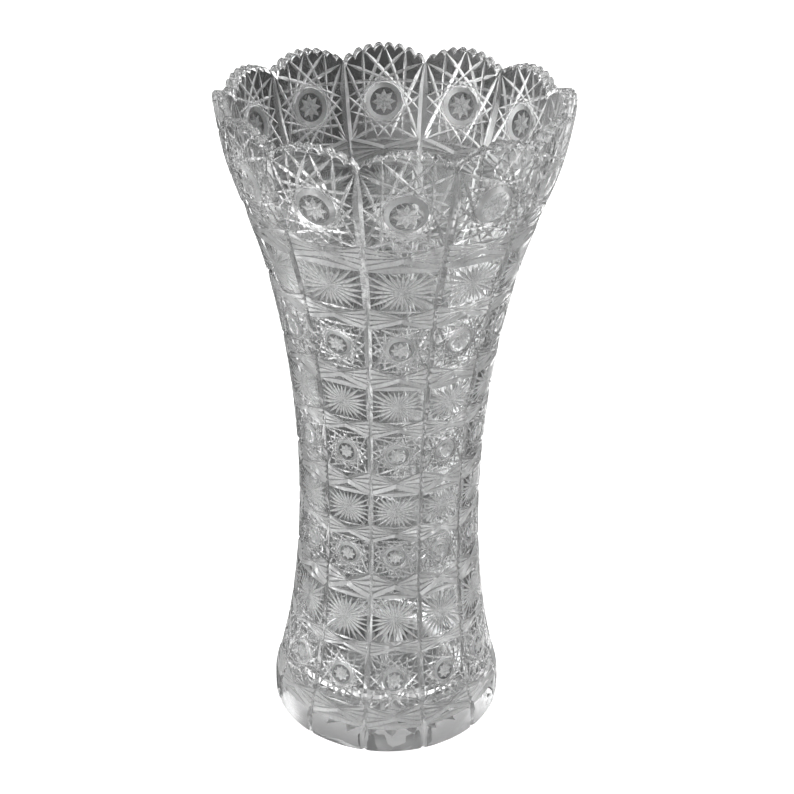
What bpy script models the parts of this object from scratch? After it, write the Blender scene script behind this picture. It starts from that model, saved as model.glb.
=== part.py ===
"""Cut crystal vase.

One thick piece of clear lead crystal: a trumpet-shaped blank with a slim
waist, a slightly flared foot and a heavy floor, blown in one piece and then
cut cold.  Twelve upright mitre grooves divide the wall into twelve panels.
Each panel ends in a round scallop at the rim, and small saw teeth are cut
right across the thickness of the rim.

Frame: metres, +Z up, origin in the middle of the flat underside, with the
middle of one panel facing -Y.
"""

import math

import bpy
import bmesh

MM = 0.001

# ---- driving dimensions -------------------------------------------------
HEIGHT = 305.0 * MM            # underside to the highest tooth of the rim
PANELS = 12                    # panels, grooves and rim scallops
TEETH_PER_PANEL = 8            # saw teeth along one scallop

# outside of the wall: (height, radius), from the foot to the rim
FOOT = (0.0 * MM, 55.2 * MM)
FOOT_TOP = (12.0 * MM, 55.0 * MM)
ANKLE = (24.5 * MM, 51.7 * MM)
CALF = (49.0 * MM, 47.0 * MM)
LOW_WAIST = (85.0 * MM, 43.2 * MM)
WAIST = (122.0 * MM, 42.2 * MM)
HIGH_WAIST = (159.0 * MM, 43.9 * MM)
CHEST = (195.0 * MM, 48.2 * MM)
SHOULDER = (232.0 * MM, 55.7 * MM)
FLARE = (256.0 * MM, 63.1 * MM)
LIP = (281.0 * MM, 71.3 * MM)
RIM = (HEIGHT, 75.4 * MM)
OUTSIDE = (FOOT, FOOT_TOP, ANKLE, CALF, LOW_WAIST, WAIST, HIGH_WAIST, CHEST,
           SHOULDER, FLARE, LIP, RIM)

WALL_AT_RIM = 6.0 * MM         # wall thickness, measured level
WALL_AT_FOOT = 8.5 * MM
FLOOR = 17.0 * MM              # thickness of the heavy floor
FLOOR_CORNER = 12.0 * MM       # inside radius between floor and wall
FOOT_CHAMFER = 1.2 * MM        # polished edge round the underside

SCALLOP_RISE = 6.5 * MM        # height of each scallop above its two ends
TOOTH_DEPTH = 1.8 * MM         # depth of the saw teeth in the rim
NOTCH_DEPTH = 1.6 * MM         # extra cut where a groove meets the rim
GROOVE_DEPTH = 1.3 * MM        # depth of the twelve mitre grooves

STEPS_PER_PANEL = 2 * TEETH_PER_PANEL
STEPS = PANELS * STEPS_PER_PANEL

# heights of the rings that carry the wall between its ends
OUTER_RINGS = (291, 273, 253, 232, 208, 180, 148, 112, 78, 48, 26, 12)
INNER_RINGS = (280, 250, 220, 185, 145, 100, 58)


def outside_radius(z):
    """Radius of the uncut outside at height z: a smooth curve (cubic
    Hermite, central-difference tangents) through the named stations."""
    pts = OUTSIDE
    z = min(max(z, pts[0][0]), pts[-1][0])
    for i in range(len(pts) - 1):
        if z <= pts[i + 1][0]:
            break

    def slope(k):
        a, b = max(k - 1, 0), min(k + 1, len(pts) - 1)
        return (pts[b][1] - pts[a][1]) / (pts[b][0] - pts[a][0])

    z0, r0 = pts[i]
    z1, r1 = pts[i + 1]
    h = z1 - z0
    t = (z - z0) / h
    m0, m1 = slope(i) * h, slope(i + 1) * h
    return ((2 * t**3 - 3 * t**2 + 1) * r0 + (t**3 - 2 * t**2 + t) * m0
            + (-2 * t**3 + 3 * t**2) * r1 + (t**3 - t**2) * m1)


def wall(z):
    return WALL_AT_FOOT + (WALL_AT_RIM - WALL_AT_FOOT) * z / HEIGHT


def inside_radius(z):
    return outside_radius(z) - wall(z)


def profile_points():
    """The turned outline as (radius, height): from the middle of the inside
    floor, up the inside, over the rim, down the outside, to the middle of
    the underside."""
    pts = [(0.0, FLOOR)]
    r_corner = inside_radius(FLOOR + FLOOR_CORNER)
    for k in range(3):
        a = math.radians(-90 + 45 * k)
        pts.append((r_corner - FLOOR_CORNER + FLOOR_CORNER * math.cos(a),
                    FLOOR + FLOOR_CORNER + FLOOR_CORNER * math.sin(a)))
    for mm in reversed(INNER_RINGS):
        pts.append((inside_radius(mm * MM), mm * MM))
    pts.append((inside_radius(HEIGHT), HEIGHT))
    pts.append((outside_radius(HEIGHT), HEIGHT))
    for mm in OUTER_RINGS:
        pts.append((outside_radius(mm * MM), mm * MM))
    pts.append((FOOT[1], FOOT_CHAMFER))
    pts.append((FOOT[1] - FOOT_CHAMFER, 0.0))
    pts.append((0.0, 0.0))
    return pts


def rim_height(step):
    """Height of the rim at one angular step: a round scallop over each
    panel, with saw teeth, and a deeper notch where a groove arrives."""
    k = (step + STEPS_PER_PANEL // 2) % STEPS_PER_PANEL
    u = abs(k - STEPS_PER_PANEL // 2) / (STEPS_PER_PANEL / 2)
    half_chord = RIM[1] * math.sin(math.pi / PANELS)
    big_r = (half_chord**2 + SCALLOP_RISE**2) / (2 * SCALLOP_RISE)

    def arc(v):
        return math.sqrt(big_r**2 - (v * half_chord)**2) - (big_r - SCALLOP_RISE)

    top = arc(1.0 / (STEPS_PER_PANEL / 2))
    z = HEIGHT - top + arc(u)
    if k % 2 == 0:
        z -= TOOTH_DEPTH
    if k == 0:
        z -= NOTCH_DEPTH
    return z


def is_groove(step):
    return (step + STEPS_PER_PANEL // 2) % STEPS_PER_PANEL == 0


def turned_blank(collection):
    """The plain round blank: the profile turned about +Z."""
    pts = profile_points()
    mesh = bpy.data.meshes.new("blank_profile")
    mesh.from_pydata([(r, 0.0, z) for r, z in pts],
                     [(i, i + 1) for i in range(len(pts) - 1)], [])
    blank = bpy.data.objects.new("blank", mesh)
    collection.objects.link(blank)
    turn = blank.modifiers.new("turn", "SCREW")
    turn.axis = "Z"
    turn.angle = 2 * math.pi
    turn.steps = STEPS
    turn.render_steps = STEPS
    turn.use_merge_vertices = True
    turn.merge_threshold = 0.00001
    return blank


def cut_blank(blank, name, collection):
    """Cut the rim and the grooves into the blank."""
    depsgraph = bpy.context.evaluated_depsgraph_get()
    depsgraph.update()
    mesh = bpy.data.meshes.new_from_object(blank.evaluated_get(depsgraph))
    mesh.name = name
    bm = bmesh.new()
    bm.from_mesh(mesh)
    for v in bm.verts:
        x, y, z = v.co
        r = math.hypot(x, y)
        if r < 1e-5:
            continue
        step = round(math.atan2(y, x) / (2 * math.pi) * STEPS) % STEPS
        on_rim = abs(z - HEIGHT) < 1e-6
        outer = r > (inside_radius(z) + outside_radius(z)) / 2 - 1e-6
        if on_rim:
            z = rim_height(step)
        if outer and is_groove(step):
            r -= GROOVE_DEPTH
        angle = step * 2 * math.pi / STEPS
        v.co = (r * math.cos(angle), r * math.sin(angle), z)
    bm.normal_update()
    bm.to_mesh(mesh)
    bm.free()
    mesh.shade_smooth()
    mesh.set_sharp_from_angle(angle=math.radians(18))
    body = bpy.data.objects.new(name, mesh)
    collection.objects.link(body)
    return body


def crystal():
    mat = bpy.data.materials.new("crystal")
    mat.use_nodes = True
    shader = mat.node_tree.nodes["Principled BSDF"]
    shader.inputs["Base Color"].default_value = (0.86, 0.88, 0.89, 1.0)
    shader.inputs["Metallic"].default_value = 0.0
    shader.inputs["Roughness"].default_value = 0.03
    shader.inputs["IOR"].default_value = 1.55
    shader.inputs["Transmission Weight"].default_value = 1.0
    return mat


def main():
    for obj in list(bpy.data.objects):
        bpy.data.objects.remove(obj, do_unlink=True)
    vase = bpy.data.collections.new("cut_crystal_vase")
    bpy.context.scene.collection.children.link(vase)
    blank = turned_blank(vase)
    body = cut_blank(blank, "vase_body", vase)
    bpy.data.objects.remove(blank, do_unlink=True)
    body.data.materials.clear()
    body.data.materials.append(crystal())


main()
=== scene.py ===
"""Cut crystal vase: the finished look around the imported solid.

The vase is one piece of clear glass whose whole decoration is cut into it, so
its surface is made here as real geometry.  One half panel of the outside is
laid out flat, every mitre cut is a small roof of planes sunk into it, the
creases where those planes meet are found exactly, and the flat layout is
triangulated along them.  The half panel is then wrapped on the vase's own
profile, mirrored, and turned twelve times round the axis.
"""

import math

import bpy
import numpy as np
from mathutils import Matrix, Vector
from mathutils.geometry import delaunay_2d_cdt


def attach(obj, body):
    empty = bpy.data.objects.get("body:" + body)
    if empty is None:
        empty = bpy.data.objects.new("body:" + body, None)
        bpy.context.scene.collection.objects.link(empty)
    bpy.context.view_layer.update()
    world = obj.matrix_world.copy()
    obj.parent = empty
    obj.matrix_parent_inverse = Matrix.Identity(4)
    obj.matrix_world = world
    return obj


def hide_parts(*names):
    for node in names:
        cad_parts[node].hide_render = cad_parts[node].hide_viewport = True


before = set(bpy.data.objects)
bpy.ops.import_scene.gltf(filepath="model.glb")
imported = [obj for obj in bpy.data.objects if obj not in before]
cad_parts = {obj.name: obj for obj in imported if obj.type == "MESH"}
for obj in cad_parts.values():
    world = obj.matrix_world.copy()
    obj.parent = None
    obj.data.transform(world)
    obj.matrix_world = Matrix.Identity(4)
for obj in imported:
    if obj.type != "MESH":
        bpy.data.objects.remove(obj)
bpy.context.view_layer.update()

# ------------------------------------------------------------ dimensions (mm)
HEIGHT = 305.0
PANELS = 12
TEETH = 8
OUTSIDE = ((0.0, 55.2), (12.0, 55.0), (24.5, 51.7), (49.0, 47.0),
           (85.0, 43.2), (122.0, 42.2), (159.0, 43.9), (195.0, 48.2),
           (232.0, 55.7), (256.0, 63.1), (281.0, 71.3), (HEIGHT, 75.4))
WALL_AT_RIM, WALL_AT_FOOT = 6.0, 8.5
FLOOR, FLOOR_CORNER = 17.0, 12.0
FOOT_CHAMFER = 1.2
SCALLOP_RISE, TOOTH_DEPTH, NOTCH_DEPTH = 6.5, 2.3, 0.6
RIM_EDGE = 0.35                       # polished edge on both sides of the rim

GROOVE = 0.056                        # half width of a panel groove, in pitches

# rows of the pattern, by height on the wall
MEDALLIONS = ((24.0, 38.3, 51.5), (92.8, 102.6, 110.8), (146.0, 156.2, 166.0),
              (201.0, 211.6, 222.4), (262.5, 278.6, 303.0))
STARS = ((58.2, 80.4), (118.9, 135.0), (174.0, 190.5), (231.5, 251.0))
BANDS = ((14.0, 24.0, 1), (51.5, 58.2, 0), (80.4, 92.8, 1), (110.8, 118.9, 0),
         (135.0, 146.0, 1), (166.0, 174.0, 0), (190.5, 201.0, 1),
         (222.4, 231.5, 0), (251.0, 262.5, 1))

# -------------------------------------------------------------- the profile


def station_curve(z):
    """Outside radius at height z: cubic Hermite through the stations."""
    zs = np.array([p[0] for p in OUTSIDE])
    rs = np.array([p[1] for p in OUTSIDE])
    n = len(zs)
    m = np.array([(rs[min(k + 1, n - 1)] - rs[max(k - 1, 0)])
                  / (zs[min(k + 1, n - 1)] - zs[max(k - 1, 0)]) for k in range(n)])
    z = np.clip(np.asarray(z, float), 0.0, HEIGHT)
    i = np.clip(np.searchsorted(zs, z) - 1, 0, n - 2)
    h = zs[i + 1] - zs[i]
    t = (z - zs[i]) / h
    return ((2 * t**3 - 3 * t**2 + 1) * rs[i] + (t**3 - 2 * t**2 + t) * m[i] * h
            + (3 * t**2 - 2 * t**3) * rs[i + 1] + (t**3 - t**2) * m[i + 1] * h)


def wall(z):
    return WALL_AT_FOOT + (WALL_AT_RIM - WALL_AT_FOOT) * np.asarray(z) / HEIGHT


def inside(z):
    return station_curve(z) - wall(z)


TZ = np.linspace(0.0, HEIGHT, 2441)
TR = station_curve(TZ)
TSLOPE = np.gradient(TR, TZ)
TPITCH = TR * 2 * math.pi / PANELS
TSTEP = np.hypot(1.0, TSLOPE) / TPITCH
# Y: height along the wall counted in local panel widths, so that a circle in
# the flat layout is a circle on the vase
TY = np.concatenate([[0.0], np.cumsum((TSTEP[1:] + TSTEP[:-1]) / 2 * np.diff(TZ))])


def y_of(z):
    return np.interp(z, TZ, TY)


def z_of(y):
    return np.interp(y, TY, TZ)


# --------------------------------------------------------------- the cut kit
# A cut is a concave depth field, the least of a few planes a*x + b*y + c.
# The surface lies at the greatest depth of all cuts, and at 0 where uncut.


def vcut(cuts, finish, a, b, w, slope=1.0, ta=0.35, tb=0.35, lift=0.0, w2=None, flat=0.0):
    """Adds a V cut along the line a-b, w wide to each side where it is full,
    and narrowing to a point over the shares ta and tb of its length.  flat is
    half the width of the clear strip that the wheel's edge leaves in the
    bottom."""
    (ax, ay), (bx, by) = a, b
    length = math.hypot(bx - ax, by - ay)
    ux, uy = (bx - ax) / length, (by - ay) / length
    side = np.array([-uy, ux, uy * ax - ux * ay]) * slope
    along = np.array([ux, uy, -(ux * ax + uy * ay)])
    one = np.array([0.0, 0.0, 1.0])
    deep = w * slope
    rows = []
    if w2 is None:
        rows += [deep * one - side, deep * one + side]
        for share, t in ((ta, along), (tb, length * one - along)):
            rise = deep * t / (share * length)
            rows += [rise - side, rise + side]
    else:                             # one stretch of a chained, curved cut
        d = deep * one + (w2 * slope - deep) / length * along
        rows += [d - side, d + side, d + 3 * slope * along,
                 d + 3 * slope * (length * one - along)]
    kind = [finish] * len(rows)
    if flat:
        rows.append((deep - flat * slope) * one)
        kind.append(CLEAR)
    rows = np.array(rows)
    rows[:, 2] += lift
    cuts.append((rows, np.array(kind)))


CLEAR, MATTE, SATIN, WHEEL, BEVEL = 0, 1, 2, 3, 4   # uncut, stars, leaves, lines, rings


def star_cell(cuts, z0, z1, rays=24):
    """Sunburst of fine grey cuts that fills its cell to the borders."""
    y0, y1 = y_of(z0), y_of(z1)
    cy, b, a = (y0 + y1) / 2, (y1 - y0) / 2 + 0.004, 0.51
    for k in range(rays):
        th = 2 * math.pi * k / rays
        c, s = math.cos(th), math.sin(th)
        reach = min(a / max(abs(c), 1e-9), b / max(abs(s), 1e-9))
        w = min(0.030, 0.066 * reach)
        vcut(cuts, MATTE, (0.0, cy), (c * reach, cy + s * reach), w, slope=0.46,
             ta=w / (0.108 * reach), tb=0.44)


def medallion(cuts, z0, zc, z1, r):
    """Sixteen-pointed hobstar of long cuts tangent to a round button, with a
    small eight-petalled grey star in the button."""
    y0, y1, cy = y_of(z0), y_of(z1), y_of(zc)
    n, m = 16, 6
    rho = r + 0.022
    big = rho / math.cos(math.pi * m / n)
    ax = 0.5 - GROOVE * 0.5
    for k in range(n):
        mid = math.pi / 2 + 2 * math.pi * k / n + math.pi * m / n
        px, py = rho * math.cos(mid), rho * math.sin(mid)
        ux, uy = -math.sin(mid), math.cos(mid)
        half = math.sqrt(big**2 - rho**2) * 1.03
        lo, hi = -half, half
        for p, u, low, high in ((px, ux, -ax, ax), (py + cy, uy, y0, y1)):
            if abs(u) > 1e-9:
                t1, t2 = sorted(((low - p) / u, (high - p) / u))
                lo, hi = max(lo, t1), min(hi, t2)
        if hi - lo < 0.1:
            continue
        vcut(cuts, WHEEL, (px + ux * lo, py + cy + uy * lo),
             (px + ux * hi, py + cy + uy * hi), 0.022, slope=0.78, ta=0.16, tb=0.16)
    for sx in (1, -1):                # little fans that fill the corners
        for yc, sy in ((y0 - 0.006, 1), (y1 + 0.006, -1)):
            if sy < 0 and zc > 250:
                continue
            for deg in (26.0, 60.0):
                u = math.cos(math.radians(deg)) * sx
                v = math.sin(math.radians(deg)) * sy
                vcut(cuts, WHEEL, (0.455 * sx, yc), (0.455 * sx - 0.19 * u, yc + 0.19 * v),
                     0.017, slope=0.78, ta=0.2, tb=0.5)
    # the ring: a bevel that falls away from the raised button, and a steeper
    # face that rises again outside it
    inner, steep, gentle, sides = (0.75 if zc > 250 else 0.79) * r, 0.50, 1.00, 18
    deep = steep * (r - inner)
    span = math.tan(math.pi / sides)
    for k in range(sides):
        a = 2 * math.pi * (k + 0.5) / sides
        u, v = math.cos(a), math.sin(a)
        rows = [[steep * u, steep * v, -steep * (inner + v * cy)],
                [-gentle * u, -gentle * v, deep + gentle * (r + v * cy)]]
        for side in (1, -1):
            p, q = 1.12 * span * u - side * v, 1.12 * span * v + side * u
            rows.append([2.2 * p, 2.2 * q, 0.010 - 2.2 * q * cy])
        cuts.append((np.array(rows), np.array([BEVEL, WHEEL, WHEEL, WHEEL])))
    far, fat = (0.66, 0.17) if zc > 250 else (0.70, 0.24)
    for k in range(8):
        a = math.pi / 2 + 2 * math.pi * k / 8
        tip = (far * r * math.cos(a), cy + far * r * math.sin(a))
        vcut(cuts, MATTE, (0.0, cy), tip, fat * r, slope=0.40, ta=0.12, tb=0.50)


def band(cuts, z0, z1, arch):
    """Four broad cuts that cross at mid-panel and open towards the grooves;
    over a star cell, also a wide arched cut."""
    y0, y1 = y_of(z0), y_of(z1)
    ax = 0.5 - GROOVE * 0.45
    low = y0
    if arch:
        rise, wide = 0.062, 0.056
        base = y0 + 0.004
        xs = np.array([0.0, 0.12, 0.24, 0.35, ax])
        ys = base + rise * np.cos(np.pi / 2 * xs / ax)
        ws = wide * np.cos(np.pi / 2 * xs / ax)**0.8 + 0.003
        for i in range(len(xs) - 1):
            for sign in (1, -1):
                vcut(cuts, SATIN, (sign * xs[i], ys[i]), (sign * xs[i + 1], ys[i + 1]),
                     ws[i], slope=0.5, w2=ws[i + 1])
        low = y0 + 0.045
    yc, h = (low + y1) / 2, y1 - low
    if arch:
        yc += 0.012
    w = 0.155 * h + 0.002
    for f in (-0.5, -0.17, 0.17, 0.5):
        f *= 0.90 * h
        vcut(cuts, SATIN, (-0.5, yc - f * 0.5 / ax), (0.5, yc + f * 0.5 / ax), w,
             slope=0.62, ta=0.03, tb=0.03, flat=0.0045)
    for y, side in ((y1, 1), (low, -1)):
        if side > 0 or not arch:
            vcut(cuts, WHEEL, (-0.36, y - 0.012 * side), (0.36, y - 0.012 * side), 0.026,
                 slope=0.7, ta=0.45, tb=0.45)


def panel_cuts():
    cuts = []
    top = y_of(301.0)
    for x in (0.5, -0.5):
        vcut(cuts, WHEEL, (x, -1.0), (x, top), GROOVE, slope=0.75, ta=0.01,
             tb=0.42 / (top + 1.0))
    for z0, zc, z1 in MEDALLIONS:
        medallion(cuts, z0, zc, z1, 0.235 if zc > 250 else 0.222)
    for z0, z1 in STARS:
        star_cell(cuts, z0, z1)
    for z0, z1, arch in BANDS:
        band(cuts, z0, z1, arch)
    return cuts


# ------------------------------------------------- creases of the cut surface


def outline_box(planes):
    """Box of the region where a cut is deeper than 0 (x and y), found by
    clipping a large square with its planes."""
    poly = [(-0.7, -1.0), (0.7, -1.0), (0.7, 20.0), (-0.7, 20.0)]
    for a, b, c in planes:
        out = []
        for i in range(len(poly)):
            p, q = poly[i], poly[(i + 1) % len(poly)]
            vp, vq = a * p[0] + b * p[1] + c, a * q[0] + b * q[1] + c
            if vp >= 0:
                out.append(p)
            if (vp > 0) != (vq > 0) and abs(vp - vq) > 1e-15:
                t = vp / (vp - vq)
                out.append((p[0] + (q[0] - p[0]) * t, p[1] + (q[1] - p[1]) * t))
        poly = out
        if not poly:
            return None
    x = [p[0] for p in poly]
    y = [p[1] for p in poly]
    return min(x), max(x), min(y), max(y)


def creases(cuts, xlim, shortest=8e-4):
    """Every visible crease as a pair of points: where two planes of one cut,
    two cuts, or a cut and the uncut surface meet."""
    big = 1e9
    zero = np.array([[0.0, 0.0, 0.0]])
    sets = [p for p, _ in cuts]
    boxes = [outline_box(p) for p in sets]
    keep = [i for i, b in enumerate(boxes)
            if b and b[1] > xlim[0] and b[0] < xlim[1]]
    sets = [sets[i] for i in keep]
    boxes = np.array([boxes[i] for i in keep])
    n = len(sets)
    out = []
    for i in range(n):
        bi = boxes[i]
        near = [k for k in range(n)
                if boxes[k][0] < bi[1] + 1e-6 and boxes[k][1] > bi[0] - 1e-6
                and boxes[k][2] < bi[3] + 1e-6 and boxes[k][3] > bi[2] - 1e-6]
        for j in [i] + [k for k in near if k > i] + [-1]:
            A = sets[i]
            B = zero if j == -1 else sets[j]
            if j == i:
                ia, ib = np.triu_indices(len(A), 1)
            else:
                ia, ib = [g.ravel() for g in np.meshgrid(np.arange(len(A)), np.arange(len(B)), indexing="ij")]
            pa, pb = A[ia], B[ib]
            c = pa - pb
            g2 = c[:, 0]**2 + c[:, 1]**2
            ok = g2 > 1e-16
            if not ok.any():
                continue
            pa, pb, c, g2 = pa[ok], pb[ok], c[ok], g2[ok]
            g = np.sqrt(g2)
            p0 = -c[:, 2:3] * c[:, :2] / g2[:, None]
            u = np.stack([-c[:, 1], c[:, 0]], 1) / g[:, None]
            av = (pa[:, :2] * p0).sum(1) + pa[:, 2]
            bv = (pa[:, :2] * u).sum(1)
            # own interval: the line's value is the least of both cuts' planes,
            # not above them, not under 0, and inside the layout
            own = np.concatenate([A, B] if j != i else [A])
            alpha = p0 @ own[:, :2].T + own[:, 2] - av[:, None]
            beta = u @ own[:, :2].T - bv[:, None]
            extra_a = np.stack([p0[:, 0] - xlim[0], xlim[1] - p0[:, 0]], 1)
            extra_b = np.stack([u[:, 0], -u[:, 0]], 1)
            if j != -1:
                extra_a = np.concatenate([extra_a, av[:, None]], 1)
                extra_b = np.concatenate([extra_b, bv[:, None]], 1)
            alpha = np.concatenate([alpha + 1e-10, extra_a], 1)
            beta = np.concatenate([beta, extra_b], 1)
            with np.errstate(divide="ignore", invalid="ignore"):
                t = -alpha / beta
            flat = np.abs(beta) < 1e-11
            lo = np.where((beta > 0) & ~flat, t, -big).max(1)
            hi = np.where((beta < 0) & ~flat, t, big).min(1)
            dead = (flat & (alpha < -1e-9)).any(1)
            lo = np.maximum(lo, -30)
            hi = np.minimum(hi, 30)
            good = (hi - lo > shortest) & ~dead
            if not good.any():
                continue
            sel = np.where(good)[0]
            others = [k for k in near if k not in (i, j)]
            hid_lo = hid_hi = None
            if others:
                Q = np.concatenate([sets[k] for k in others])
                starts = np.cumsum([0] + [len(sets[k]) for k in others[:-1]])
                qa = p0[sel] @ Q[:, :2].T + Q[:, 2] - av[sel, None] - 1e-9
                qb = u[sel] @ Q[:, :2].T - bv[sel, None]
                with np.errstate(divide="ignore", invalid="ignore"):
                    t = -qa / qb
                flat = np.abs(qb) < 1e-11
                tl = np.where(flat, np.where(qa > 0, -big, big), np.where(qb > 0, t, -big))
                th = np.where(flat, np.where(qa > 0, big, -big), np.where(qb < 0, t, big))
                hid_lo = np.maximum.reduceat(tl, starts, axis=1)
                hid_hi = np.minimum.reduceat(th, starts, axis=1)
            for row, s in enumerate(sel):
                spans = [(lo[s], hi[s])]
                if hid_lo is not None:
                    for hl, hh in zip(hid_lo[row], hid_hi[row]):
                        if hh - hl < 1e-9:
                            continue
                        nxt = []
                        for a, b in spans:
                            if hh <= a or hl >= b:
                                nxt.append((a, b))
                                continue
                            if hl > a:
                                nxt.append((a, hl))
                            if hh < b:
                                nxt.append((hh, b))
                        spans = nxt
                        if not spans:
                            break
                for a, b in spans:
                    if b - a > shortest:
                        out.append((p0[s] + a * u[s], p0[s] + b * u[s]))
    return out


def depth_at(cuts, x, y):
    """Depth of the cut surface at each point, and the finish there."""
    starts = np.cumsum([0] + [len(p) for p, _ in cuts[:-1]])
    P = np.concatenate([p for p, _ in cuts])
    kind = np.concatenate([k for _, k in cuts])
    depth = np.zeros(len(x))
    finish = np.full(len(x), CLEAR)
    ends = np.append(starts[1:], len(P))
    for k in range(0, len(x), 4000):
        s = slice(k, k + 4000)
        v = P[:, 0:1] * x[s] + P[:, 1:2] * y[s] + P[:, 2:3]
        low = np.minimum.reduceat(v, starts, axis=0)
        best = low.argmax(0)
        top = low[best, np.arange(v.shape[1])]
        depth[s] = np.maximum(top, 0.0)
        f = np.full(v.shape[1], CLEAR)
        for b in np.unique(best):
            on = np.where((best == b) & (top > 1e-7))[0]
            if len(on):
                f[on] = kind[starts[b]:ends[b]][v[starts[b]:ends[b], on].argmin(0)]
        finish[s] = f
    return depth, finish


def triangulate(border, segments, points, eps=1e-5):
    """Triangles of the region inside border that keep to the segments."""
    verts = [Vector(p) for p in border]
    n = len(verts)
    edges = []
    for a, b in segments:
        edges.append((len(verts), len(verts) + 1))
        verts += [Vector(a), Vector(b)]
    verts += [Vector(p) for p in points]
    out = delaunay_2d_cdt(verts, edges, [list(range(n))], 1, eps, False)
    co, tri = np.array([tuple(v) for v in out[0]]), np.array(out[2])
    mid = co[tri].mean(1)
    odd = np.zeros(len(tri), bool)
    for (x0, y0), (x1, y1) in zip(border, list(border[1:]) + [border[0]]):
        if y0 != y1:
            cross = (mid[:, 1] < y0) != (mid[:, 1] < y1)
            odd ^= cross & (mid[:, 0] < x0 + (x1 - x0) * (mid[:, 1] - y0) / (y1 - y0))
    return co, tri[odd]


def edge_row(tri, u, v, top):
    """The vertices of a layout's upper (or lower) edge, in order of u.  The
    two other edges are straight, at the lowest and highest u."""
    e = np.sort(np.concatenate([tri[:, [0, 1]], tri[:, [1, 2]], tri[:, [2, 0]]]), axis=1)
    pairs, count = np.unique(e, axis=0, return_counts=True)
    rim = np.unique(pairs[count == 1])
    half = (v[rim] > v.mean()) == top
    rim = rim[half]
    inner = rim[(u[rim] > u.min() + 2e-5) & (u[rim] < u.max() - 2e-5)]
    ends = []
    for side in (rim[u[rim] <= u.min() + 2e-5], rim[u[rim] >= u.max() - 2e-5]):
        ends.append(side[v[side].argmax() if top else v[side].argmin()])
    row = np.concatenate([[ends[0]], inner, [ends[1]]])
    return row[np.argsort(u[row])]


# ------------------------------------------------------------- half a panel


def scallop(x):
    """Height of the toothed rim over the half panel, x from 0 to 0.5."""
    x = np.asarray(x, float)
    half_chord = OUTSIDE[-1][1] * math.sin(math.pi / PANELS)
    big = (half_chord**2 + SCALLOP_RISE**2) / (2 * SCALLOP_RISE)

    def arc(v):
        return np.sqrt(big**2 - (v * half_chord)**2) - (big - SCALLOP_RISE)

    u = np.abs(x) * 2
    tooth = (np.abs(x) * TEETH) % 1.0 - 0.5
    bead = 1.0 - np.sqrt(1.0 - (1.9 * tooth)**2)
    z = HEIGHT - arc(1.0 / TEETH) + arc(u) - TOOTH_DEPTH * bead / 0.68775
    z -= NOTCH_DEPTH * np.clip(1 - (0.5 - np.abs(x)) / 0.035, 0, 1)
    return z


def clip_top(a, b, xs, top):
    """The part of the segment a-b that lies under the outline top(xs)."""
    ia = a[1] < np.interp(a[0], xs, top)
    ib = b[1] < np.interp(b[0], xs, top)
    if ia and ib:
        return a, b
    if not ia and not ib:
        return None
    if ib:
        a, b = b, a
    lo, hi = 0.0, 1.0
    for _ in range(40):
        mid = (lo + hi) / 2
        p = a + (b - a) * mid
        if p[1] < np.interp(p[0], xs, top):
            lo = mid
        else:
            hi = mid
    return a, a + (b - a) * lo


def rim_steps():
    per = 8
    x = [k / (TEETH * per) for k in range(TEETH * per // 2 + 1)]
    x.append(0.5 - 0.035)
    return np.array(sorted(set(round(v, 9) for v in x)))


class Shell:
    """Collects the half panel's points (x = share of the pitch from the
    panel's middle, r, z in mm) and triangles with their finish."""

    def __init__(self):
        self.x, self.r, self.z, self.tri, self.mat = [], [], [], [], []
        self.count = 0

    def add(self, x, r, z):
        start = self.count
        self.x.append(np.asarray(x, float))
        self.r.append(np.asarray(r, float))
        self.z.append(np.asarray(z, float))
        self.count += len(x)
        return start + np.arange(len(x))

    def faces(self, tri, mat):
        tri = np.asarray(tri).reshape(-1, 3)
        self.tri.append(tri)
        self.mat.append(np.broadcast_to(mat, len(tri)))

    def strip(self, a, b, mat, flip=False):
        """Quads between two equal rows of points."""
        a, b = np.asarray(a), np.asarray(b)
        t = np.concatenate([np.stack([a[:-1], a[1:], b[1:]], 1),
                            np.stack([a[:-1], b[1:], b[:-1]], 1)])
        self.faces(t[:, ::-1] if flip else t, mat)


def wrap_out(x, y, depth):
    z0 = z_of(y)
    r0 = np.interp(z0, TZ, TR)
    sl = np.interp(z0, TZ, TSLOPE)
    k = depth * r0 * 2 * math.pi / PANELS / np.hypot(1.0, sl)
    return r0 - k, z0 + k * sl


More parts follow.
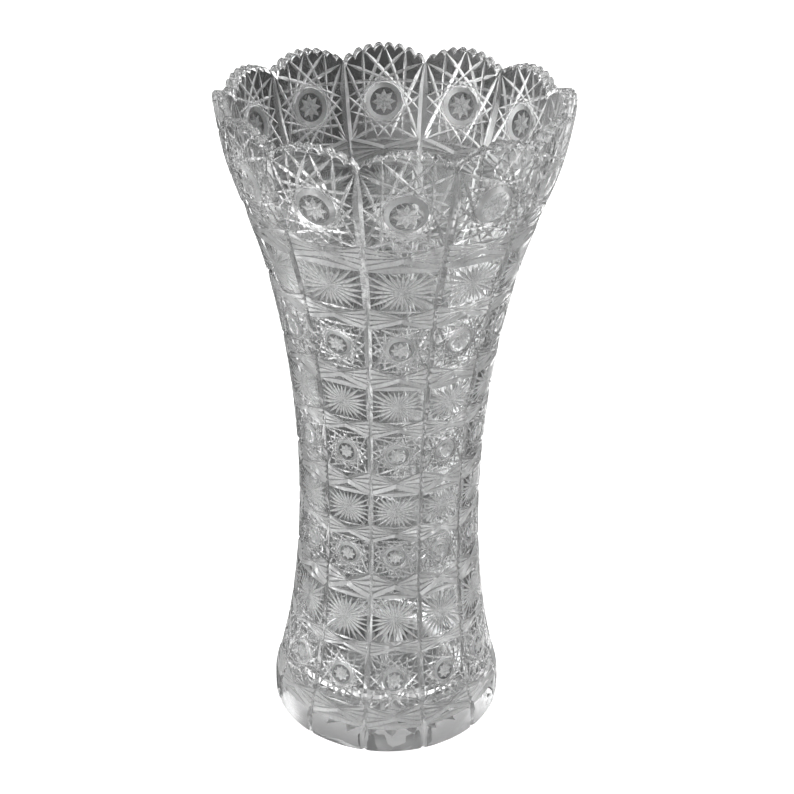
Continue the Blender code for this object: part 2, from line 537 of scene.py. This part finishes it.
def half_panel():
    shell = Shell()
    cuts = panel_cuts()
    xs = rim_steps()
    ztop = scallop(xs)
    y_low = y_of(FOOT_CHAMFER)
    y_rim = y_of(ztop - RIM_EDGE)

    # outside
    y_grid = np.arange(y_low, y_rim.max(), 0.16)
    left = [(0.0, y) for y in y_grid[1:] if y < y_rim[0] - 0.02]
    bottom = [(x, y_low) for x in np.linspace(0, 0.5, 9)]
    bottom = sorted(set(bottom + [(0.5 - GROOVE, y_low)]))
    right = [(0.5, y) for y in y_grid[1:] if y < y_rim[-1] - 0.02]
    border = bottom + right + [(x, y) for x, y in zip(xs[::-1], y_rim[::-1])] + left[::-1]
    segs = creases(cuts, (-1e-7, 0.5 + 1e-7))
    segs = [(np.clip(a, [0, y_low], [0.5, 99]), np.clip(b, [0, y_low], [0.5, 99]))
            for a, b in segs if max(a[1], b[1]) > y_low]
    segs = [clip_top(a, b, xs, y_rim) for a, b in segs]
    segs = [s for s in segs if s and np.hypot(*(s[1] - s[0])) > 5e-4]
    segs = [(a + (b - a) * i / n, a + (b - a) * (i + 1) / n) for a, b in segs
            for n in [max(1, int(np.hypot(*(b - a)) / 0.16))] for i in range(n)]
    pts = []
    for i, y in enumerate(y_grid[1:]):
        for x in (np.arange(0.0625, 0.5, 0.125) if i % 2 else np.arange(0.125, 0.5, 0.125)):
            if y < np.interp(x, xs, y_rim) - 0.05:
                pts.append((x, y))
    co, tri = triangulate(border, segs, pts)
    x, y = co[:, 0], co[:, 1]
    x = np.where(np.abs(x) < 2e-5, 0.0, np.where(np.abs(x - 0.5) < 2e-5, 0.5, x))
    depth, _ = depth_at(cuts, x, y)
    r, z = wrap_out(x, y, depth)
    ids = shell.add(x, r, z)
    cx, cy = x[tri].mean(1), y[tri].mean(1)
    _, finish = depth_at(cuts, cx, cy)
    area = ((x[tri[:, 1]] - x[tri[:, 0]]) * (y[tri[:, 2]] - y[tri[:, 0]])
            - (x[tri[:, 2]] - x[tri[:, 0]]) * (y[tri[:, 1]] - y[tri[:, 0]]))
    tri = np.where((area > 0)[:, None], tri, tri[:, ::-1])
    shell.faces(ids[tri], finish)

    # the border vertices of the outside, in order of x
    on_low = ids[edge_row(tri, x, y, False)]
    on_rim = edge_row(tri, x, y, True)
    rx, rz = x[on_rim], z[on_rim]
    rr = r[on_rim]
    on_rim = ids[on_rim]

    # across the toothed rim: outer edge, top, inner edge
    zt = scallop(rx)
    ri = inside(zt)
    ring1 = shell.add(rx, rr - RIM_EDGE, zt)
    ring2 = shell.add(rx, ri + RIM_EDGE, zt)
    ring3 = shell.add(rx, ri, zt - RIM_EDGE)
    for a, b in ((on_rim, ring1), (ring1, ring2), (ring2, ring3)):
        shell.strip(a, b, CLEAR)

    # inside, smooth: a sparse grid joined to the toothed rim
    z_in = FLOOR + FLOOR_CORNER
    rows = np.linspace(z_in, 292.0, 40)
    col = np.arange(0, 0.5 + 1e-9, 0.125)
    scale = 1.0 / 40.0                    # keeps the layout's shape for the CDT
    border = ([(c, z_in * scale) for c in col]
              + [(0.5, v * scale) for v in rows[1:]]
              + [(a, b * scale) for a, b in zip(rx[::-1], (zt - RIM_EDGE)[::-1])]
              + [(0.0, v * scale) for v in rows[:0:-1]])
    pts = [(c, v * scale) for v in rows[1:] for c in col[1:-1]]
    pts += [(c, 297.0 * scale) for c in (0.06, 0.125, 0.19, 0.25, 0.31, 0.375)]
    co, tri = triangulate(border, [], pts)
    area = ((co[tri[:, 1], 0] - co[tri[:, 0], 0]) * (co[tri[:, 2], 1] - co[tri[:, 0], 1])
            - (co[tri[:, 2], 0] - co[tri[:, 0], 0]) * (co[tri[:, 1], 1] - co[tri[:, 0], 1]))
    tri = np.where((area < 0)[:, None], tri, tri[:, ::-1])
    ix, iz = co[:, 0], co[:, 1] / scale
    ids = shell.add(ix, inside(np.minimum(iz + 0.0, HEIGHT)), iz)
    # the rim's inner edge is set from the top of the rim, so match it there
    top = edge_row(tri, ix, iz, True)
    shell.x[-1][top] = np.interp(ix[top], rx, rx)
    shell.r[-1][top] = np.interp(ix[top], rx, ri)
    shell.z[-1][top] = np.interp(ix[top], rx, zt - RIM_EDGE)
    shell.faces(ids[tri], CLEAR)
    row = ids[edge_row(tri, ix, iz, False)]

    # rounded corner and floor
    rc = float(inside(z_in)) - FLOOR_CORNER
    for k in range(1, 7):
        a = math.radians(-90.0 * k / 6)
        new = shell.add(col, np.full(len(col), rc + FLOOR_CORNER * math.cos(a)),
                        np.full(len(col), z_in + FLOOR_CORNER * math.sin(a)))
        shell.strip(row, new, CLEAR)
        row = new
    for f in (0.8, 0.6, 0.4, 0.2):
        new = shell.add(col, np.full(len(col), rc * f), np.full(len(col), FLOOR))
        shell.strip(row, new, CLEAR)
        row = new
    mid = shell.add([0.0], [0.0], [FLOOR])[0]
    shell.faces([(row[i], row[i + 1], mid) for i in range(len(row) - 1)], CLEAR)

    # polished chamfer under the foot
    x_low = np.concatenate(shell.x)[on_low]
    r_low = np.concatenate(shell.r)[on_low] - FOOT_CHAMFER
    edge = shell.add(x_low, r_low, np.zeros(len(on_low)))
    shell.strip(edge, on_low, CLEAR)

    # underside: a star of shallow rays inside a flat ring, cut upwards
    step = 2 * math.pi / PANELS
    ray, wide, steep = 41.0, 4.3, 0.33
    base = []
    for a in (0.0, step / 2):
        vcut(base, SATIN, (0.0, 0.0), (ray * math.cos(a), ray * math.sin(a)), wide,
             slope=steep, ta=0.02, tb=0.55)
    ex = r_low * np.cos(x_low * step)
    ey = r_low * np.sin(x_low * step)
    border = [(0.0, 0.0)] + [(a, b) for a, b in zip(ex, ey)]
    seg = creases(base, (-1.0, 60.0), 1e-3)
    keep = []
    for p, q in seg:                      # clip to the wedge
        lo, hi = 0.0, 1.0
        n = np.array([-math.sin(step / 2), math.cos(step / 2)])
        for f0, f1 in ((p[1], q[1]), (-(n @ p), -(n @ q))):
            if abs(f1 - f0) < 1e-12:
                if f0 < -1e-9:
                    hi = -1
                continue
            t = -f0 / (f1 - f0)
            if f1 > f0:
                lo = max(lo, t)
            else:
                hi = min(hi, t)
        if hi - lo > 1e-4:
            keep.append((p + (q - p) * lo, p + (q - p) * hi))
    pts = []
    for rad in (12, 24, 36, 46):
        for f in (0.0, 0.5, 1.0):
            pts.append((rad * math.cos(f * step / 2), rad * math.sin(f * step / 2)))
    co, tri = triangulate(border, keep, pts, 1e-4)
    area = ((co[tri[:, 1], 0] - co[tri[:, 0], 0]) * (co[tri[:, 2], 1] - co[tri[:, 0], 1])
            - (co[tri[:, 2], 0] - co[tri[:, 0], 0]) * (co[tri[:, 1], 1] - co[tri[:, 0], 1]))
    tri = np.where((area < 0)[:, None], tri, tri[:, ::-1])
    n = np.array([-math.sin(step / 2), math.cos(step / 2)])
    flat = (np.abs(co[tri] @ n) < 2e-3).all(1) | (np.abs(co[tri][:, :, 1]) < 2e-3).all(1)
    tri = tri[~flat]
    d, _ = depth_at(base, co[:, 0], co[:, 1])
    rad = np.hypot(co[:, 0], co[:, 1])
    ang = np.arctan2(co[:, 1], co[:, 0]) / step
    ang = np.where(rad < 1e-4, 0.0, np.clip(ang, 0, 0.5))
    ang = np.where(np.abs(ang) < 1e-5, 0.0, np.where(np.abs(ang - 0.5) < 1e-5, 0.5, ang))
    d = np.where(rad > ray + 1, 0.0, d)
    ids = shell.add(ang, rad, d)
    edge_xy = np.stack([ex, ey], 1)
    for i in np.where(rad > r_low.min() - 0.5)[0]:
        k = np.hypot(*(edge_xy - co[i]).T).argmin()
        if np.hypot(*(edge_xy[k] - co[i])) < 2e-3:
            shell.x[-1][i], shell.r[-1][i], shell.z[-1][i] = x_low[k], r_low[k], 0.0
    cx, cy = co[tri, 0].mean(1), co[tri, 1].mean(1)
    _, finish = depth_at(base, cx, cy)
    shell.faces(ids[tri], finish)
    return (np.concatenate(shell.x), np.concatenate(shell.r), np.concatenate(shell.z),
            np.concatenate(shell.tri), np.concatenate(shell.mat))


# --------------------------------------------------------------- whole vase


def hand(angle, z, seed):
    """Slow wander of a hand-cut pattern: a sum of a few long waves."""
    v = np.zeros_like(angle)
    for n, kz, ph, amp in ((2, 0.021, 0.4, 1.0), (5, 0.034, 2.1, 0.8), (7, 0.052, 4.0, 0.7),
                           (11, 0.043, 1.2, 0.8), (3, 0.083, 5.3, 0.5)):
        v += amp * np.sin(n * angle + kz * z + ph + seed * (ph + 1.3))
    return v / 2.2


def build_vase():
    x, r, z, tri, mat = half_panel()
    step = 2 * math.pi / PANELS
    xs, rs, zs, ts, ms = [], [], [], [], []
    n = len(x)
    for k in range(PANELS):
        centre = -math.pi / 2 + k * step
        for j, sign in enumerate((1, -1)):
            xs.append(centre + sign * x * step)
            rs.append(r)
            zs.append(z)
            t = tri + (2 * k + j) * n
            ts.append(t if sign > 0 else t[:, ::-1])
            ms.append(mat)
    a, r, z = np.concatenate(xs), np.concatenate(rs), np.concatenate(zs)
    tri, mat = np.concatenate(ts), np.concatenate(ms)
    co = np.stack([r * np.cos(a), r * np.sin(a), z], 1) * 0.001
    # weld the copies: identical points share a key
    key = np.round(co / 2e-7).astype(np.int64)
    order = np.lexsort((key[:, 2], key[:, 1], key[:, 0]))
    sk = key[order]
    same = np.concatenate([[False], (np.abs(np.diff(sk, axis=0)) <= 0).all(1)])
    group = np.cumsum(~same) - 1
    index = np.empty(len(co), np.int64)
    index[order] = group
    first = order[~same]
    co = co[first]
    tri = index[tri]
    ok = (tri[:, 0] != tri[:, 1]) & (tri[:, 1] != tri[:, 2]) & (tri[:, 2] != tri[:, 0])
    tri, mat = tri[ok], mat[ok]

    # the cutter's hand: the outside pattern wanders by a few tenths of a mm
    r, z, a = np.hypot(co[:, 0], co[:, 1]) * 1000, co[:, 2] * 1000, np.arctan2(co[:, 1], co[:, 0])
    skin = np.clip((r - (inside(z) + 1.5)) / 1.5, 0, 1) * (z > 1.3)
    fade = np.clip((z - 3.0) / 12.0, 0, 1) * np.clip((297.0 - z) / 12.0, 0, 1) * skin
    zz = z + 0.45 * hand(a, z, 1.0) * fade
    a = a + 0.35 * hand(a, z, 2.0) * fade / np.maximum(r, 5.0)
    r = r + (station_curve(zz) - station_curve(z)) * fade
    return np.stack([r * np.cos(a), r * np.sin(a), zz], 1) * 0.001, tri, mat


def make_mesh(name, co, tri, mat, sharp):
    me = bpy.data.meshes.new(name)
    me.vertices.add(len(co))
    me.vertices.foreach_set("co", co.astype(np.float32).ravel())
    me.loops.add(len(tri) * 3)
    me.loops.foreach_set("vertex_index", tri.astype(np.int32).ravel())
    me.polygons.add(len(tri))
    me.polygons.foreach_set("loop_start", np.arange(0, len(tri) * 3, 3, dtype=np.int32))
    me.polygons.foreach_set("material_index", mat.astype(np.int32))
    me.update(calc_edges=True)
    me.validate()
    me.shade_smooth()
    me.set_sharp_from_angle(angle=math.radians(sharp))
    return me


# ---------------------------------------------------------------- materials


class Nodes:
    """Short-hand for building a node tree."""

    def __init__(self, tree):
        self.tree = tree
        tree.nodes.clear()

    def add(self, kind, **props):
        node = self.tree.nodes.new(kind)
        for k, v in props.items():
            setattr(node, k, v)
        return node

    def link(self, a, b):
        self.tree.links.new(a, b)

    def math(self, op, a, b=None, c=None, clamp=False):
        node = self.add("ShaderNodeMath", operation=op, use_clamp=clamp)
        for i, v in enumerate((a, b, c)):
            if v is None:
                continue
            if isinstance(v, (int, float)):
                node.inputs[i].default_value = v
            else:
                self.link(v, node.inputs[i])
        return node.outputs[0]

    def ramp(self, fac, stops, mode="LINEAR"):
        node = self.add("ShaderNodeValToRGB")
        ramp = node.color_ramp
        ramp.interpolation = mode
        while len(ramp.elements) < len(stops):
            ramp.elements.new(0.5)
        for e, (pos, val) in zip(ramp.elements, stops):
            e.position = pos
            e.color = (*val, 1.0) if isinstance(val, tuple) else (val, val, val, 1.0)
        self.link(fac, node.inputs[0])
        return node.outputs[0]


IOR = 1.545


def crystal(name, rough_lo, rough_hi, bump, tint, clear=1.0, grain=0.0):
    """Lead crystal. The cut's finish is in the roughness: it varies over the
    surface as wheel-ground glass does.  grain is how much darker the pits
    left by the wheel are than the ground surface between them."""
    m = bpy.data.materials.new(name)
    m.use_nodes = True
    n = Nodes(m.node_tree)
    out = n.add("ShaderNodeOutputMaterial")
    sh = n.add("ShaderNodeBsdfPrincipled")
    n.link(sh.outputs[0], out.inputs[0])
    sh.inputs["Base Color"].default_value = (*tint, 1.0)
    sh.inputs["Transmission Weight"].default_value = clear
    sh.inputs["IOR"].default_value = IOR
    tc = n.add("ShaderNodeTexCoord")
    noise = n.add("ShaderNodeTexNoise")
    noise.inputs["Scale"].default_value = 260.0
    noise.inputs["Detail"].default_value = 3.0
    n.link(tc.outputs["Object"], noise.inputs["Vector"])
    mr = n.add("ShaderNodeMapRange")
    mr.inputs["From Min"].default_value = 0.3
    mr.inputs["From Max"].default_value = 0.7
    mr.inputs["To Min"].default_value = rough_lo
    mr.inputs["To Max"].default_value = rough_hi
    n.link(noise.outputs["Fac"], mr.inputs["Value"])
    n.link(mr.outputs["Result"], sh.inputs["Roughness"])
    if grain:
        pits = n.add("ShaderNodeTexNoise")
        pits.inputs["Scale"].default_value = 1250.0
        pits.inputs["Detail"].default_value = 3.0
        pits.inputs["Roughness"].default_value = 0.7
        n.link(tc.outputs["Object"], pits.inputs["Vector"])
        share = n.add("ShaderNodeMapRange")
        share.inputs["From Min"].default_value = 0.36
        share.inputs["From Max"].default_value = 0.56
        n.link(pits.outputs["Fac"], share.inputs["Value"])
        mix = n.add("ShaderNodeMix", data_type="RGBA")
        mix.inputs[6].default_value = (*[v * (1.0 - grain) for v in tint], 1.0)
        mix.inputs[7].default_value = (*tint, 1.0)
        n.link(share.outputs["Result"], mix.inputs[0])
        n.link(mix.outputs[2], sh.inputs["Base Color"])
    if bump:
        grit = n.add("ShaderNodeTexNoise")
        grit.inputs["Scale"].default_value = 2000.0
        grit.inputs["Detail"].default_value = 2.0
        n.link(tc.outputs["Object"], grit.inputs["Vector"])
        bp = n.add("ShaderNodeBump")
        bp.inputs["Strength"].default_value = bump
        bp.inputs["Distance"].default_value = 0.00006
        n.link(grit.outputs["Fac"], bp.inputs["Height"])
        n.link(bp.outputs["Normal"], sh.inputs["Normal"])
    return m


# ------------------------------------------------------------------- build
co, tri, mat = build_vase()
vase = bpy.data.objects.new("cut_crystal_vase", make_mesh("cut_crystal_vase", co, tri, mat, 12.0))
bpy.context.scene.collection.objects.link(vase)
for args in (("crystal_polished", 0.0, 0.012, 0.0, (0.985, 0.99, 0.99), 1.0),
             ("crystal_matte_star", 0.30, 0.44, 0.80, (0.95, 0.955, 0.955), 0.26, 0.45),
             ("crystal_satin_cut", 0.10, 0.24, 0.40, (0.98, 0.985, 0.985), 0.62, 0.25),
             ("crystal_wheel_cut", 0.04, 0.12, 0.12, (0.96, 0.965, 0.965), 0.82),
             ("crystal_bevel", 0.42, 0.56, 0.18, (0.98, 0.985, 0.985), 0.85, 0.10)):
    vase.data.materials.append(crystal(*args))
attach(vase, "root")
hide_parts("vase_body")

# ------------------------------------------------------- floor, light, camera
bpy.ops.mesh.primitive_circle_add(vertices=64, radius=30.0, fill_type="NGON", location=(0, 0, -0.0003))
floor = bpy.context.object
floor.name = "floor"
fm = bpy.data.materials.new("floor_pale_painted_glow")
fm.use_nodes = True
fn = Nodes(fm.node_tree)
fo = fn.add("ShaderNodeOutputMaterial")
fd = fn.add("ShaderNodeBsdfDiffuse")
fd.inputs["Color"].default_value = (0.86, 0.86, 0.86, 1)
# painted light: an emission glow that makes the pale floor look lit
fe = fn.add("ShaderNodeEmission")
fe.inputs["Color"].default_value = (1, 1, 1, 1)
# painted light: the floor glows by its own emission, weaker near the vase as painted shade, and runs up to
# white far away, where it meets the background
ft = fn.add("ShaderNodeTexCoord")
fl = fn.add("ShaderNodeVectorMath", operation="LENGTH")
fn.link(ft.outputs["Object"], fl.inputs[0])
fr = fn.add("ShaderNodeMapRange", interpolation_type="SMOOTHSTEP")
for key, value in (("From Min", 0.15), ("From Max", 1.6), ("To Min", 0.84), ("To Max", 1.0)):
    fr.inputs[key].default_value = value
fn.link(fl.outputs["Value"], fr.inputs["Value"])
fn.link(fr.outputs["Result"], fe.inputs["Strength"])
fa = fn.add("ShaderNodeAddShader")
fn.link(fd.outputs[0], fa.inputs[0])
fn.link(fe.outputs[0], fa.inputs[1])
fn.link(fa.outputs[0], fo.inputs[0])
floor.data.materials.append(fm)
floor.visible_transmission = False
floor.visible_glossy = False
floor.visible_diffuse = False

world = bpy.data.worlds.new("studio")
bpy.context.scene.world = world
world.use_nodes = True
w = Nodes(world.node_tree)
wo = w.add("ShaderNodeOutputWorld")
bg = w.add("ShaderNodeBackground")
w.link(bg.outputs[0], wo.inputs[0])
tc = w.add("ShaderNodeTexCoord")
sep = w.add("ShaderNodeSeparateXYZ")
w.link(tc.outputs["Generated"], sep.inputs[0])
# A ring of grey cards and soft boxes stands round the vase: each row gives a
# height in degrees and the brightness of its cards, from straight behind the
# vase round to the left.  They only show in the glass.  The values are a
# least-squares fit of the light to the tones seen from this camera, rounded.
FRONT = 85.5                          # the way the camera looks, seen from above
CARDS = ((-76, (0.4,)),
         (-54, (0.07, 0.35, 3.0, 0.8, 0.8, 0.6, 2.7, 0.25)),
         (-40, (0.03, 0.08, 0.45, 2.75, 0.25, 0.3, 0.3, 0.2,
                1.6, 1.7, 0.2, 0.6, 1.1, 0.1, 0.08, 0.04)),
         (-29, (0.06, 0.2, 0.07, 0.08, 0.07, 0.07, 0.07, 0.07,
                0.07, 0.07, 0.07, 0.09, 0.07, 0.07, 0.1, 2.6)),
         (-18, (0.03, 0.03, 0.07, 1.25, 0.75, 1.2, 0.2, 0.1,
                0.1, 0.1, 0.1, 0.1, 0.1, 0.1, 0.09, 0.08)),
         (-2, (0.15, 0.35, 1.0, 1.0, 1.0, 1.0, 1.0, 0.7,
               0.15, 0.15, 0.15, 0.15, 0.15, 0.15, 0.25, 1.45)),
         (24, (0.03, 0.04, 2.15, 3.3, 2.2, 0.2, 2.0, 0.03)),
         (62, (0.95,)))
BRIGHTEST = 4.0                       # a colour ramp holds no more than 1
turn = w.math("ARCTAN2", sep.outputs["Y"], sep.outputs["X"])
round_way = w.math("FRACT", w.math("MULTIPLY_ADD", turn, 0.5 / math.pi, 1.5 - FRONT / 360.0))
height = w.math("MULTIPLY", w.math("ARCSINE", sep.outputs["Z"]), 180.0 / math.pi)


def lerp(t, a, b):
    node = w.add("ShaderNodeMix", data_type="FLOAT")
    for sock, v in zip((node.inputs[0], node.inputs[2], node.inputs[3]), (t, a, b)):
        if isinstance(v, (int, float)):
            sock.default_value = v
        else:
            w.link(v, sock)
    return node.outputs[0]


def card_row(values):
    """One row's brightness round the vase, running smoothly between cards.
    The ramp starts half a turn away from straight behind."""
    n = len(values)
    if n == 1:
        return values[0] / BRIGHTEST
    half = n // 2
    around = [values[(k + half) % n] / BRIGHTEST for k in range(n + 1)]
    return w.ramp(round_way, [(k / n, v) for k, v in enumerate(around)])


shade = None
for k, (deg, values) in enumerate(CARDS):
    row = card_row(values)
    if k == 0:
        shade = row
        continue
    below = CARDS[k - 1][0]
    t = w.math("MULTIPLY_ADD", height, 1.0 / (deg - below), -below / (deg - below), clamp=True)
    shade = lerp(t, shade, row)
glow = w.math("MULTIPLY", shade, BRIGHTEST)
lp = w.add("ShaderNodeLightPath")
glow = lerp(lp.outputs["Is Diffuse Ray"], glow, 0.02)
w.link(lerp(lp.outputs["Is Camera Ray"], glow, 1.0), bg.inputs["Color"])
bg.inputs["Strength"].default_value = 1.0
world.cycles.sampling_method = "NONE"


def soft_box(name, at, size, watts):
    data = bpy.data.lights.new(name, "AREA")
    data.shape = "DISK"
    data.size = size
    data.energy = watts
    lamp = bpy.data.objects.new(name, data)
    bpy.context.scene.collection.objects.link(lamp)
    lamp.location = at
    lamp.rotation_euler = (Vector((0, 0, 0.16)) - Vector(at)).to_track_quat("-Z", "Y").to_euler()
    lamp.visible_camera = False
    lamp.visible_glossy = False
    lamp.visible_transmission = False
    return lamp


soft_box("key", (0.35, -1.15, 0.75), 0.35, 8.9)
soft_box("fill_left", (-1.1, -0.5, 0.7), 0.5, 7.4)
soft_box("fill_right", (1.1, 0.35, 0.8), 0.5, 6.0)
soft_box("back", (-0.3, 1.2, 0.9), 0.5, 11.0)
soft_box("top", (0.1, 0.0, 1.5), 0.6, 0.2)

PHI0 = math.radians(4.2)
turn_c, turn_s = math.cos(-PHI0), math.sin(-PHI0)


def turned(v):
    return Vector((v[0] * turn_c - v[1] * turn_s, v[0] * turn_s + v[1] * turn_c, v[2]))


cam_data = bpy.data.cameras.new("camera")
cam = bpy.data.objects.new("camera", cam_data)
bpy.context.scene.collection.objects.link(cam)
cam_data.sensor_width = 36.0
cam_data.lens = 1576.8 / 794 * 36.0
right = turned((0.99987801, 0.00368111, 0.01517938))
upward = turned((-0.01509469, 0.47749932, 0.87850244))
ahead = turned((0.00401428, 0.8786244, -0.47749664))
place = turned((0.0, -0.6309, 0.0))
cam.matrix_world = Matrix(((right.x, upward.x, -ahead.x, place.x),
                           (right.y, upward.y, -ahead.y, place.y),
                           (right.z, upward.z, -ahead.z, 0.505),
                           (0, 0, 0, 1)))
cam_data.clip_start = 0.01
cam_data.clip_end = 200
bpy.context.scene.camera = cam

sc = bpy.context.scene
sc.view_settings.view_transform = "Standard"
sc.view_settings.look = "None"
sc.cycles.max_bounces = 24
sc.cycles.transmission_bounces = 24
sc.cycles.glossy_bounces = 16
sc.cycles.diffuse_bounces = 3
sc.cycles.caustics_reflective = False
sc.cycles.caustics_refractive = True
